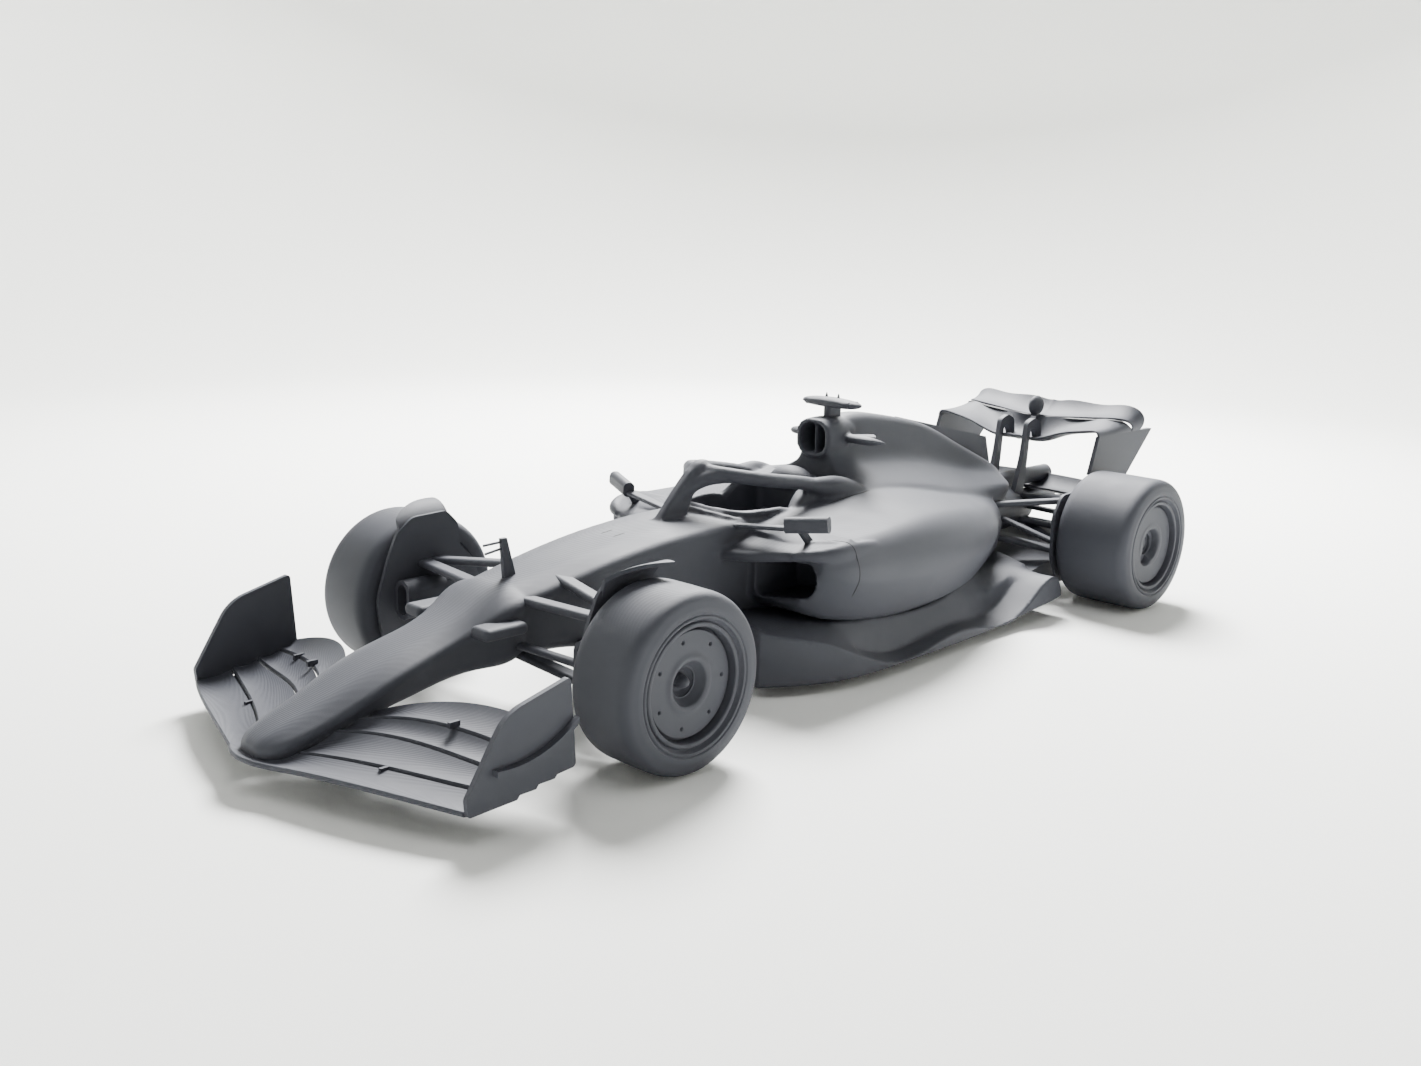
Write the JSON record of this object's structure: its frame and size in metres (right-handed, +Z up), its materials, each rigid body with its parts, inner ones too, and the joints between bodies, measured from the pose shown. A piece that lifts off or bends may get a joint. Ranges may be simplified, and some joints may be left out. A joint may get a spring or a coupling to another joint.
{
  "type": "open-wheel racing car scale model",
  "caption": "Display model of a single-seat open-wheel racing car with multi-element wings, halo, deep sidepods, venturi floor and turning wheels, in one blue-grey print resin.",
  "frame": {"origin": "bottom centre of the car on the surface it stands on", "axes": "+Z up; -Y towards the nose and +Y towards the tail; +X towards the left-hand side of the car"},
  "size_m": [0.1112, 0.3106, 0.0652],
  "materials": {
    "printed_resin": "matte",
    "tyre_resin": "matte",
    "wheel_resin": "matte"
  },
  "bodies": {
    "chassis": {"beam_wing": "printed_resin", "brake_ducts": "printed_resin", "cameras": "printed_resin", "cockpit_surround": "printed_resin", "crash_structure": "printed_resin", "diffuser": "printed_resin", "driveshafts": "printed_resin", "engine_cover": "printed_resin", "exhaust": "printed_resin", "flap_actuator": "printed_resin", "floor": "printed_resin", "front_wing_brackets": "printed_resin", "front_wing_endplates": "printed_resin", "front_wing_flaps": "printed_resin", "front_wing_main": "printed_resin", "gearbox_case": "printed_resin", "halo": "printed_resin", "headrest": "printed_resin", "knuckles": "printed_resin", "lower_wishbones": "printed_resin", "mirrors": "printed_resin", "nose_cone": "printed_resin", "pitot_mast": "printed_resin", "plank": "printed_resin", "pushrods": "printed_resin", "rear_wing_endplates": "printed_resin", "rear_wing_flap": "printed_resin", "rear_wing_main": "printed_resin", "rear_wing_pylons": "printed_resin", "seat": "printed_resin", "shark_fin": "printed_resin", "sidepod_left": "printed_resin", "sidepod_right": "printed_resin", "tail_light": "printed_resin", "track_rods": "printed_resin", "tub": "printed_resin", "upper_wishbones": "printed_resin"},
    "wheel_front_left": {"tyre_front_left": "tyre_resin", "wheel_front_left": "wheel_resin"},
    "wheel_front_right": {"tyre_front_right": "tyre_resin", "wheel_front_right": "wheel_resin"},
    "wheel_rear_left": {"tyre_rear_left": "tyre_resin", "wheel_rear_left": "wheel_resin"},
    "wheel_rear_right": {"tyre_rear_right": "tyre_resin", "wheel_rear_right": "wheel_resin"}
  },
  "joints": [
    {"name": "spin_front_left", "type": "hinge", "parent": "chassis", "child": "wheel_front_left", "pos_m": [0.0466, -0.0821, 0.02], "axis": [1, 0, 0], "continuous": true},
    {"name": "spin_front_right", "type": "hinge", "parent": "chassis", "child": "wheel_front_right", "pos_m": [-0.0466, -0.0821, 0.02], "axis": [1, 0, 0], "continuous": true},
    {"name": "spin_rear_left", "type": "hinge", "parent": "chassis", "child": "wheel_rear_left", "pos_m": [0.0436, 0.1163, 0.02], "axis": [1, 0, 0], "continuous": true},
    {"name": "spin_rear_right", "type": "hinge", "parent": "chassis", "child": "wheel_rear_right", "pos_m": [-0.0436, 0.1163, 0.02], "axis": [1, 0, 0], "continuous": true}
  ]
}
